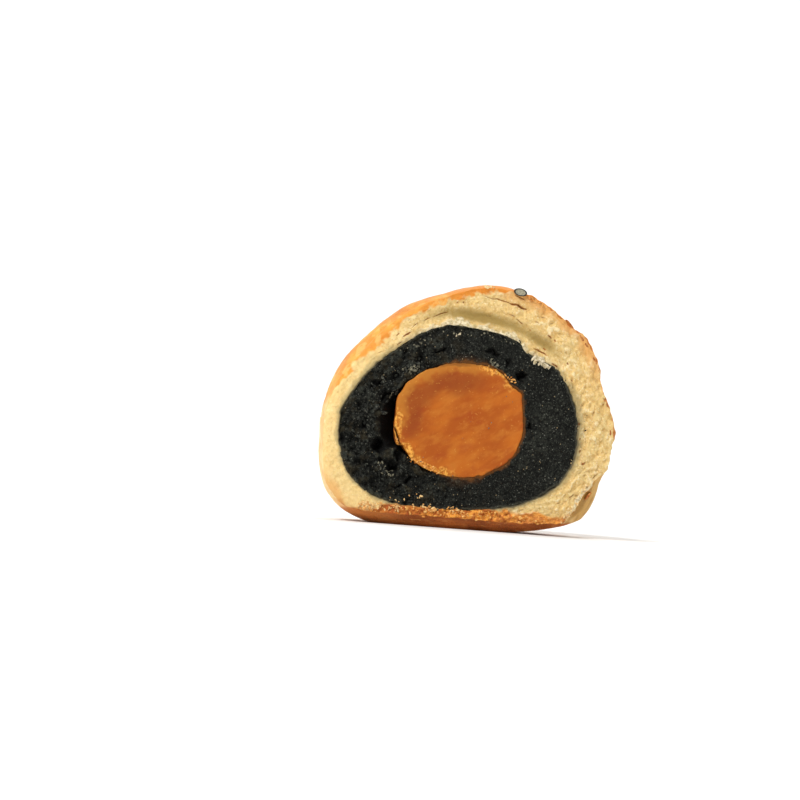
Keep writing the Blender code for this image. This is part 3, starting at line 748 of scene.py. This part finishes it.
old_skin = coats(dough, low_skin, (red_skin, "golden", 0.05, 0.95))
new_skin = coats(dough, pale_skin, (gold_skin, "golden", 0.1, 0.9))
pressed_in = coats(dough, "#CDA052", ("#B8883E", speckle(dough, 1.4, 4, (0.8, 1, 2.5)), 0.42, 0.60))
sole = coats(
    dough, "#B5652B",
    ("#904A1B", speckle(dough, 1.6, 5, (5, 5, 0.8)), 0.40, 0.62),
    ("#CC8A4A", speckle(dough, 0.8, 3, (3, 3, 0.6)), 0.56, 0.70, 0.6),
    # Painted light: the sole is painted lighter towards the left, where its curve lies in shade
    ("#D08544", across, -8 * MM, -16 * MM, 0.6),
)
coat = coats(
    dough, new_skin,
    (old_skin, "aged"),
    (pressed_in, "bent_in", 0.15, 0.7),
    # Painted shadow in the nook behind the ridge
    ("#94662C", "nook_shadow", 0.2, 0.9, 0.6),
    ("#A9602A", "blistered", 0.2, 0.8, 0.85),
    (sole, "foot"),
)
colour = coats(dough, cream, (coat, "skin", 0.12, 0.88))
smoother_left = node(dough, "MapRange", in0=across, in1=-20 * MM, in2=-10 * MM, in3=0.35, in4=1.0)[0]
crumbly = node(dough, "Bump", in0=smoother_left, in1=0.24 * MM, Height=speckle(dough, 0.4, 6))[0]
crazed = node(dough, "Bump", in0=0.3, in1=0.12 * MM, Height=speckle(dough, 0.9, 6), Normal=crumbly)[0]
is_skin = node(dough, "Attribute", {"attribute_name": "skin"})["Fac"]
sheen = node(dough, "MapRange", in0=is_skin, in1=0.3, in2=1.0, in3=0.85, in4=0.5)[0]
finish(crust, dough, dough_shader, Base_Color=colour, Normal=crazed, Roughness=sheen)
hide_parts("crust")
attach(crust, "root")


# ---- Sesame seeds --------------------------------------------------------------------------------
# Whole black and white sesame, pressed into the wet egg wash before baking, so each sits half sunk. They
# are drops of oily hull, pointed at one end. The knife went through one black seed at the slice.

SEED_SIZE = np.array((3.0, 1.9, 1.1))
SEED_SPREAD, SEED_SPACING, SEEDS_CLEAR_OF_SLICE, SEED_THROWS = 17.0, 3.6, 9.0, 60
SEED_ROWS, SEED_SIDES, SLICED_SEED_SIDES = 12, 20, 48
SLICED_SEED = np.array((7.65, -0.30, 42.95))
SLICED_SEED_SIZE = (1.22, 1.1, 0.68)  # half its length, its depth and half its thickness
SLICED_SEED_TILT = math.radians(-9)


def seed_places():
    """(x, y) and turn of each whole seed: throws over the top that land on it and clear of the others."""
    draw = np.random.default_rng(11)
    places = [(7.1, 0.0)]
    for _ in range(SEED_THROWS):
        seed_x = draw.uniform(-SEED_SPREAD, SEED_SPREAD)
        seed_y = draw.uniform(SEEDS_CLEAR_OF_SLICE, SEED_SPREAD)
        clear = all(math.dist((seed_x, seed_y), other) > SEED_SPACING for other in places)
        if math.hypot(seed_x, seed_y) < SEED_SPREAD and clear:
            places.append((seed_x, seed_y))
    return np.array(places[1:]), draw.uniform(0, math.pi, len(places) - 1)


def ellipsoid_rows(rows, sides):
    """Directions all round a point, in rows from its front pole to its back pole."""
    climb = np.linspace(-math.pi / 2, math.pi / 2, rows + 2)[1:-1, None]
    return heading(once_round(sides), climb)


def laid_along(points, ahead, beside, up):
    """Points of each copy carried from x, y and z onto its own three directions."""
    axes = np.stack((ahead, beside, up), axis=-2)
    return np.einsum("nrsi,nij->nrsj", points, axes)


places, turns = seed_places()
# The skin at three points half a millimetre apart gives each seed's spot and the way up from it
rise = DOME_FORM[2][1] * np.sqrt(1 - (places**2).sum(axis=1) / DOME_FORM[1] ** 2)
guess = np.column_stack((places[:, 0] - DOME_CENTRE[0], places[:, 1], rise))
nudges = guess + 0.5 * np.array(((0, 0, 0), (1, 0, 0), (0, 1, 0)))[:, None]
spots, ahead, beside = skin_points(unit(nudges))
up = unit(np.cross(ahead - spots, beside - spots))
side = unit(np.cross(up, np.column_stack((np.cos(turns), np.sin(turns), turns * 0))))
# A drop: an ellipsoid that gets narrower and thinner towards one end, each a little larger or smaller
drop = ellipsoid_rows(SEED_ROWS, SEED_SIDES)
taper = 1 - 0.32 * drop[..., :1]
drop = drop * SEED_SIZE / 2 * np.concatenate((taper * 0 + 1, taper, taper * 0.5 + 0.5), axis=-1)
drop = drop * (1 + 0.10 * hashed(np.round(spots * 7).astype(np.int64), 71))[:, None, None, None]
sunk_spots = spots + up * SEED_SIZE[2] * 0.17
seed_sheets = laid_along(drop, np.cross(side, up), side, up) + sunk_spots[:, None, None]
seed_black = (hashed(np.round(spots * 5).astype(np.int64), 72) > 0.1)[:, None, None] * 1.0
seeds = closed_surface("sesame_seeds", (seed_sheets,), {"black": (seed_black,)})

# The sliced seed is flat at the cut, from its middle out to its thin black hull, and round behind
half_length, seed_depth, half_thickness = SLICED_SEED_SIZE
flat_share = np.array((0.25, 0.5, 0.66, 0.74, 0.82, 0.92, 1.0))[:, None]
seed_angle = once_round(SLICED_SEED_SIDES)
seed_climb = np.linspace(0.12, math.pi / 2 - 0.1, 9)[:, None]
seed_outline = np.stack((half_length * np.cos(seed_angle), half_thickness * np.sin(seed_angle)), axis=-1)
seed_outline = seed_outline * (1 - 0.10 * np.cos(seed_angle))[:, None]
shares = np.concatenate((flat_share, np.cos(seed_climb)))
depths = np.concatenate((0.10 * bump_at(flat_share, 0.76, 0.08), seed_depth * np.sin(seed_climb)))
ahead_x, ahead_z = math.cos(SLICED_SEED_TILT), math.sin(SLICED_SEED_TILT)
spread = seed_outline * shares[..., None] @ np.array(((ahead_x, ahead_z), (-ahead_z, ahead_x)))
half_seed = np.stack((spread[..., 0], np.broadcast_to(depths, spread.shape[:2]), spread[..., 1]), axis=-1)
hull = np.concatenate((step_up(0.72, 0.80, flat_share), np.ones_like(seed_climb)))
sliced_seed = closed_surface("sliced_sesame_seed", (half_seed + SLICED_SEED,), {"black": (hull,)})

# Sesame hull: oily and satin, so a black seed shows a soft light edge and a white one looks creamy
sesame, sesame_shader = food("sesame_hull", Roughness=0.42, Specular_IOR_Level=0.45)
kernel = coats(
    sesame, "#B9AF93",
    ("#E4D3AE", speckle(sesame, 0.4, 3), 0.40, 0.62),
    ("#D6AE78", speckle(sesame, 1.0, 2), 0.45, 0.62, 0.6),
)
jet = coats(sesame, "#1A1B19", ("#3A3B37", speckle(sesame, 0.35, 3), 0.42, 0.66))
hull_bump = node(sesame, "Bump", in0=0.3, in1=0.05 * MM, Height=speckle(sesame, 0.25, 3))[0]
seed_colour = coats(sesame, kernel, (jet, "black"))
finish(seeds, sesame, sesame_shader, Base_Color=seed_colour, Normal=hull_bump)

# Cut sesame kernel: matt greyish pith inside the thin black hull
cut_kernel, cut_shader = food("cut_sesame_kernel", Roughness=0.6, Specular_IOR_Level=0.3)
pith = coats(
    cut_kernel, "#8E8A76",
    ("#A9A48C", speckle(cut_kernel, 0.35, 3), 0.40, 0.62),
    ("#20211F", "black"),
)
pith_bump = node(cut_kernel, "Bump", in0=0.3, in1=0.05 * MM, Height=speckle(cut_kernel, 0.2, 3))[0]
finish(sliced_seed, cut_kernel, cut_shader, Base_Color=pith, Normal=pith_bump)
for piece in (seeds, sliced_seed):
    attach(piece, "root")


# ---- Loose crumbs --------------------------------------------------------------------------------
# Crumbs that the knife broke off the dough, the yolk and the paste, stuck to the oily cut, and flakes of
# skin that lifted along the right edge. Each is a rough lump that is partly sunk in what it sticks to.

# Trails of crumbs: (from x, z, to x, z, how many, scatter, smallest radius, largest radius, tone), and a
# tone is -1 for floury, 0 creamy, 1 golden, 2 brown, 3 black and 4 grey
CRUMB_TRAILS = (
    (-18.5, 3.4, -11.0, 2.7, 26, 0.35, 0.14, 0.36, 0.6), (-11.0, 3.2, 1.5, 2.7, 34, 0.30, 0.12, 0.34, 0.9),
    (1.5, 3.0, 16.5, 2.8, 44, 0.40, 0.12, 0.32, 1.1), (-13.0, 4.5, -9.0, 4.0, 6, 0.35, 0.12, 0.30, 0.5),
    (-18.0, 3.1, -15.4, 2.4, 30, 0.28, 0.14, 0.42, 0.6),
    (-12.7, 3.1, -11.3, 2.9, 12, 0.25, 0.12, 0.36, 0.6), (-6.7, 3.6, -4.6, 3.2, 20, 0.30, 0.14, 0.40, 0.6),
    (-2.0, 3.5, 0.4, 3.1, 24, 0.25, 0.12, 0.40, 0.7), (-12.6, 4.6, -6.4, 5.6, 6, 0.35, 0.10, 0.26, 0.5),
    (-14.0, 30.2, -8.0, 33.4, 14, 0.25, 0.10, 0.24, 3.8),
    (-8.0, 34.0, 2.5, 35.2, 14, 0.30, 0.10, 0.24, 3.8), (-3.4, 34.3, -2.7, 34.7, 5, 0.15, 0.12, 0.26, -1.0),
    (2.5, 34.9, 7.6, 33.7, 9, 0.20, 0.10, 0.22, 3.8), (10.6, 31.7, 13.4, 30.5, 26, 0.30, 0.24, 0.56, -1.0),
    (20.4, 12.4, 22.6, 24.6, 22, 0.8, 0.08, 0.22, 0.3), (20.9, 22.0, 21.2, 16.0, 11, 0.4, 0.06, 0.17, 3.0),
    (24.4, 12.9, 18.4, 2.6, 44, 0.25, 0.12, 0.36, 0.2), (-13.4, 26.6, -9.2, 29.6, 20, 0.4, 0.14, 0.34, 3.2),
    (-18.0, 10.0, -11.5, 8.5, 40, 1.2, 0.12, 0.40, 3.1),
    (-19.8, 15.0, -15.4, 25.0, 90, 1.3, 0.12, 0.46, 3.2),
    (-10.2, 12.0, -4.6, 9.7, 40, 0.20, 0.10, 0.26, 1.0),
    (-13.6, 17.0, -12.4, 14.4, 12, 0.15, 0.10, 0.20, 1.0),
    (2.5, 29.0, 8.4, 26.8, 22, 0.22, 0.10, 0.24, 1.3), (3.0, 30.4, 4.4, 29.2, 14, 0.25, 0.14, 0.32, 3.8),
    (-13.2, 27.2, -9.0, 28.4, 22, 0.35, 0.18, 0.42, 3.8),
    (-15.6, 25.2, -14.2, 22.4, 9, 0.30, 0.16, 0.34, 3.8), (-6.0, 6.0, 18.0, 28.0, 14, 5.5, 0.06, 0.14, 3.8),
    (1.2, 43.3, 2.9, 43.4, 9, 0.12, 0.26, 0.46, -0.1), (8.6, 42.3, 12.0, 41.0, 16, 0.14, 0.18, 0.40, 1.5),
    (-15.5, 10.8, -12.4, 8.4, 16, 0.5, 0.14, 0.34, 3.8),
)
# Lifted skin: (x, z, half length, half thickness, degrees from level)
SKIN_FLAKES = (
    (17.2, 38.2, 1.0, 0.18, -44), (19.8, 35.5, 2.3, 0.34, -48), (22.2, 32.0, 1.2, 0.26, -60),
    (23.1, 29.9, 1.1, 0.28, -74), (26.0, 19.4, 0.9, 0.26, -84), (22.9, 7.6, 0.9, 0.24, 58),
    (25.0, 24.6, 0.9, 0.20, -76), (13.6, 40.4, 1.4, 0.20, -30),
)
FLAKE_HALF_DEPTH, FLAKE_BEHIND = 0.7, 0.6  # half a flake's size backwards, and its place behind the slice
STUCK_WITHIN, NOTHING_THERE = 1.6, 9.0  # how deep behind the slice a crumb still sticks, and beyond all
CRUMB_ROWS, CRUMB_SIDES, FLAKE_ROWS, FLAKE_SIDES = 5, 8, 10, 22


def front_surface(points):
    """The y of the first piece that a line from the front meets at each point's x and z."""
    graph = bpy.context.evaluated_depsgraph_get()
    trees = [BVHTree.FromObject(piece, graph) for piece in (crust, paste, yolk)]
    found = []
    for px, _, pz in points:
        start = Vector((np.array((px, -20.0, pz)) + SLICE_PLACE) * MM)
        hits = [tree.ray_cast(start, Vector((0, 1, 0)))[0] for tree in trees]
        met = [hit.y / MM - SLICE_PLACE[1] for hit in hits if hit]
        found.append(min(met) if met else NOTHING_THERE)
    return np.array(found)


def rough_lumps(centres, sizes, seed):
    """Lumps: ellipsoids with these half sizes, each turned its own way and made uneven by noise."""
    draw = np.random.default_rng(seed)
    around = ellipsoid_rows(CRUMB_ROWS, CRUMB_SIDES)
    offsets = draw.uniform(-50, 50, (len(centres), 1, 1, 3))
    uneven = 1 + 0.42 * noise(around * 1.2 + offsets, 1.0, seed, 2)[..., None]
    first = unit(draw.normal(size=(len(centres), 3)))
    second = unit(np.cross(first, draw.normal(size=(len(centres), 3))))
    lumps = around * uneven * sizes[:, None, None]
    return laid_along(lumps, first, second, np.cross(first, second)) + centres[:, None, None]


draw = np.random.default_rng(81)
centres, sizes, tones = [], [], []
for from_x, from_z, to_x, to_z, count, scatter, small, large, tone in CRUMB_TRAILS:
    share = draw.uniform(0, 1, count)
    scattered = draw.normal(0, scatter, (count, 2))
    crumb_x = from_x + (to_x - from_x) * share + scattered[:, 0]
    crumb_z = from_z + (to_z - from_z) * share + scattered[:, 1]
    centres.append(np.column_stack((crumb_x, share * 0, crumb_z)))
    radius = small + (large - small) * draw.uniform(0, 1, count) ** 2
    sizes.append(radius[:, None] * draw.uniform((0.8, 0.5, 0.4), (1.7, 1.0, 0.8), (count, 3)))
    tones.append(tone + draw.uniform(-0.25, 0.25, count))
centres, sizes, tones = np.concatenate(centres), np.concatenate(sizes), np.concatenate(tones)
depth_there = front_surface(centres)
kept = depth_there < STUCK_WITHIN
centres[:, 1] = depth_there - 0.25 * sizes.mean(axis=1)
crumb_sheets = rough_lumps(centres[kept], sizes[kept], 82)
crumbs = closed_surface("loose_crumbs", (crumb_sheets,), {"tone": (tones[kept][:, None, None],)})

# A flake lies along the skin's edge, and its thin side faces outwards
flake = np.array(SKIN_FLAKES)
lie = np.radians(flake[:, 4])
along = np.column_stack((np.cos(lie), lie * 0, np.sin(lie)))
outward = np.column_stack((-np.sin(lie), lie * 0, np.cos(lie)))
outward *= np.where(outward[:, :1] * np.sign(flake[:, :1]) < -0.3, -1, 1)
half_sizes = np.column_stack((flake[:, 2], 0 * lie + FLAKE_HALF_DEPTH, flake[:, 3]))
flake_shape = ellipsoid_rows(FLAKE_ROWS, FLAKE_SIDES) * half_sizes[:, None, None]
flake_noise = noise(flake_shape + flake[:, None, None, :3] * 9, 0.9, 91, 2)
flake_shape = flake_shape * (1 + 0.2 * flake_noise[..., None])
flake_place = np.column_stack((flake[:, 0], 0 * lie + FLAKE_BEHIND, flake[:, 1])) - 0.10 * outward
flake_sheets = laid_along(flake_shape, along, np.cross(outward, along), outward) + flake_place[:, None, None]
flakes = closed_surface("lifted_skin_flakes", (flake_sheets,), {"tone": (2.0,)})

# Broken crumb: matt bits of all that the knife went through, and the tone on the mesh says which
broken, broken_shader = food("broken_crumb", Roughness=0.8, Specular_IOR_Level=0.25)
lump = coats(broken, "#DDBE86", ("#F8DFA8", speckle(broken, 0.4, 3), 0.40, 0.62))
for plain, fleck, size, detail, low, high, tone_low, tone_high in (
    ("#C2B28C", "#E9DCC0", 0.4, 3, 0.40, 0.62, -0.3, -0.7),
    ("#D48A3C", "#F6BE6C", 0.4, 3, 0.40, 0.62, 0.1, 1.0),
    ("#9A5426", "#C98A4E", 0.5, 3, 0.40, 0.62, 1.3, 1.9),
    ("#1B1C19", "#55564C", 0.3, 4, 0.45, 0.65, 2.4, 2.6),
    ("#5E5B4C", "#9A947C", 0.3, 4, 0.45, 0.65, 3.4, 3.6),
):
    kind = coats(broken, plain, (fleck, speckle(broken, size, detail), low, high))
    lump = coats(broken, lump, (kind, "tone", tone_low, tone_high))
lump_bump = node(broken, "Bump", in0=0.5, in1=0.1 * MM, Height=speckle(broken, 0.25, 4))[0]
finish(crumbs, broken, broken_shader, Base_Color=lump, Normal=lump_bump)
flakes.data.materials.append(broken)
for piece in (crumbs, flakes):
    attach(piece, "root")


# ---- Table, light and camera ---------------------------------------------------------------------
# A pale seamless sweep, a soft key light from the upper left, weaker light from the right and from above
# behind, and a long lens level with the pastry, a little to its left and rolled as the photo is.

SWEEP_SIDE, SWEEP_FRONT, SWEEP_BACK, SWEEP_RADIUS, SWEEP_TOP = 4.0, 1.6, 0.35, 0.30, 3.0


def sweep_points():
    """Points of a floor that turns up into a wall: a line, a quarter circle and a line, spread sideways."""
    bend = np.linspace(0, math.pi / 2, 24)
    wall = SWEEP_BACK + SWEEP_RADIUS
    depth = np.concatenate(((-SWEEP_FRONT,), SWEEP_BACK + SWEEP_RADIUS * np.sin(bend), (wall,)))
    height = np.concatenate(((0.0,), SWEEP_RADIUS * (1 - np.cos(bend)), (SWEEP_TOP,)))
    ends = np.array((-SWEEP_SIDE / 2, SWEEP_SIDE / 2))
    return np.stack(np.broadcast_arrays(ends, depth[:, None], height[:, None]), axis=-1)


sweep = sweep_points()
row = np.arange(len(sweep) - 1)[:, None] * 2
sweep_mesh = bpy.data.meshes.new("sweep")
sweep_mesh.from_pydata(sweep.reshape(-1, 3).tolist(), [], (row + np.array((0, 1, 3, 2))).tolist())
sweep_mesh.shade_smooth()
backdrop = bpy.data.objects.new("sweep", sweep_mesh)
bpy.context.scene.collection.objects.link(backdrop)
# White card: matt paper, so the pastry's shadow lies soft on it
card, card_shader = food("white_card", Roughness=0.9, Specular_IOR_Level=0.1, Base_Color=linear("#F4F3F1"))
finish(backdrop, card, card_shader)


def softbox(name, place, size, watts):
    """A square area light that faces the pastry."""
    lamp = bpy.data.lights.new(name, "AREA")
    lamp.size, lamp.energy = size, watts
    made = bpy.data.objects.new(name, lamp)
    made.location = place
    made.rotation_euler = (Vector((0, 0, 0.02)) - Vector(place)).to_track_quat("-Z", "Y").to_euler()
    bpy.context.scene.collection.objects.link(made)


softbox("key", (-0.8, -0.85, 1.35), 0.5, 23.0)
softbox("fill", (1.1, -1.3, 0.4), 0.9, 2.5)
softbox("top", (0.1, 0.35, 1.3), 0.7, 6.0)
world = bpy.data.worlds.new("studio")
bpy.context.scene.world = world
world.use_nodes = True
world.node_tree.nodes["Background"].inputs["Color"].default_value = (1, 1, 1, 1)
world.node_tree.nodes["Background"].inputs["Strength"].default_value = 0.36
bpy.context.scene.view_settings.view_transform = "Standard"

VIEW_YAW, VIEW_DOWN, VIEW_ROLL = math.radians(10), math.radians(1), math.radians(4.5)
VIEW_DISTANCE, LENS, SENSOR, PICTURE = 0.395, 100.0, 36.0, 800
# The middle of the slice's lower edge, and the pixel where the photo has it
AIM_POINT, AIM_PIXEL = (-0.95, 0.0, 2.5), (456, 515)
lens = bpy.data.cameras.new("camera")
lens.lens, lens.sensor_width, lens.clip_start = LENS, SENSOR, 0.005
camera = bpy.data.objects.new("camera", lens)
bpy.context.scene.collection.objects.link(camera)
# The camera looks at the aim point, then swings so that the point falls on its pixel
look = Vector(heading(math.pi / 2 - VIEW_YAW, 0.0)[[0, 2, 1]])
look = (look * math.cos(VIEW_DOWN) - Vector((0, 0, math.sin(VIEW_DOWN)))).normalized()
aim = Vector((np.array(AIM_POINT) + SLICE_PLACE) * MM)
pixel = SENSOR / LENS / PICTURE
offset = Vector(((AIM_PIXEL[0] - PICTURE / 2) * pixel, (PICTURE / 2 - AIM_PIXEL[1]) * pixel, -1))
swing = offset.normalized().rotation_difference(Vector((0, 0, -1))).to_matrix()
facing = look.to_track_quat("-Z", "Y").to_matrix() @ Matrix.Rotation(VIEW_ROLL, 3, "Z") @ swing
camera.matrix_world = Matrix.Translation(aim - look * VIEW_DISTANCE) @ facing.to_4x4()
bpy.context.scene.camera = camera
